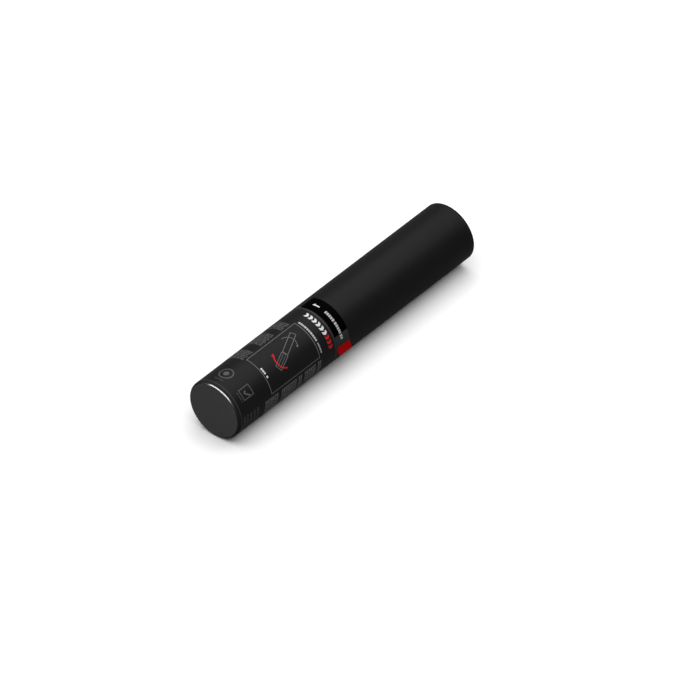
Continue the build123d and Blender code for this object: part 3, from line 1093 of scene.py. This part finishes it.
# %% Top card
def grey_board():
    """Board from recycled pulp, with darker flecks."""
    finish = Finish("grey_board", {"Specular IOR Level": 0.15})
    pulp = finish.noise(480.0, 5.0)
    fleck = finish.step(finish.noise(1300.0, 2.0), 0.62, 0.72)
    colour = finish.mix(pulp, paint(0.25, 0.20, 0.14), paint(0.36, 0.30, 0.22))
    finish.feed("Base Color", finish.mix(fleck * 0.5, colour, paint(0.12, 0.10, 0.08)))
    finish.feed("Roughness", 0.7 + pulp * 0.2)
    finish.bump(pulp + fleck * 0.5, 0.3, 0.06 * MM)
    return finish


cover_start, cover_end = span("cover_disc")
cover_radius = reach("cover_disc")[1]
top_card = piece(
    "top_card",
    turned(
        [(cover_end, 0.0), (cover_start, 0.0), (cover_start, cover_radius), (cover_end, cover_radius)],
        edge=0.2 * MM, steps=LOAD_STEPS),
    grey_board(), "load", ["cover_disc"])
even_normals(top_card)

# %% [markdown]
# ## Mechanism
# The bottle, valve and cam are rigid and exact in the CAD model, so their nodes stay and only get finishes.
# Turned metal shows rings round its axis, a drawn bottle shows lines along it, and mouldings have a soft,
# uneven shine. Each of these is a noise, for the metals stretched one way.

# %% Metal and rubber finishes
def metal(name, colour, dark, stretch, roughness):
    """Bare metal with fine tool lines and a slight stain."""
    finish = Finish(name, {"Metallic": 1.0})
    lines = finish.noise(1500.0, 3.0, stretch)
    stain = finish.noise(90.0, 3.0)
    finish.feed("Base Color", finish.mix(lines * 0.6 + stain * 0.4, dark, colour))
    finish.feed("Roughness", roughness + lines * 0.16)
    finish.bump(lines, 0.15, 0.03 * MM)
    return finish


def rubber(name):
    """Black rubber with a dull bloom."""
    finish = Finish(name, {"Specular IOR Level": 0.3})
    bloom = finish.noise(260.0, 4.0)
    finish.feed("Base Color", finish.mix(bloom, paint(0.014), paint(0.026)))
    finish.feed("Roughness", 0.55 + bloom * 0.2)
    finish.bump(finish.noise(1800.0, 2.0), 0.15, 0.03 * MM)
    return finish


drawn_aluminium = metal(
    "drawn_aluminium", paint(0.80, 0.80, 0.82), paint(0.66, 0.66, 0.68), (0.04, 1.0, 1.0), 0.26)
turned_brass = metal(
    "turned_brass", paint(0.80, 0.60, 0.26), paint(0.64, 0.45, 0.17), (1.0, 0.08, 0.08), 0.22)
bright_steel = metal(
    "bright_steel", paint(0.62, 0.62, 0.64), paint(0.48, 0.48, 0.50), (1.0, 0.1, 0.1), 0.24)
seal_rubber = rubber("seal_rubber")
print("metal and rubber ready")

# %% Dress the CAD nodes
bush_plastic = natural_moulding("bush_plastic", paint(0.036), paint(0.026))
housing_plastic = natural_moulding("housing_plastic", paint(0.12), paint(0.09))
cam_nylon = natural_moulding("cam_nylon", paint(0.74, 0.72, 0.66), paint(0.66, 0.63, 0.56))
grip_card = wrapped_card("grip_card", *span("grip_tube"), reach("grip_tube")[1])

dressing = {
    "grip_tube": grip_card,
    "grip_bush": bush_plastic,
    "coupler": housing_plastic,
    "cylinder_collar": housing_plastic,
    "cam_sleeve": cam_nylon,
    "thrust_washer": cam_nylon,
    "cam_screws": bright_steel,
    "diffuser_plate": bright_steel,
    "retaining_ring": bright_steel,
    "cross_pin": bright_steel,
    "gas_cylinder": drawn_aluminium,
    "valve_body": turned_brass,
    "release_plug": turned_brass,
    "cylinder_pad": seal_rubber,
    "neck_gasket": seal_rubber,
    "journal_seal": seal_rubber,
    "plug_seals": seal_rubber,
}
for node, finish in dressing.items():
    mesh = frame["nodes"][node].data
    mesh.materials.clear()
    mesh.materials.append(finish.material)
print("dressed:", len(dressing))
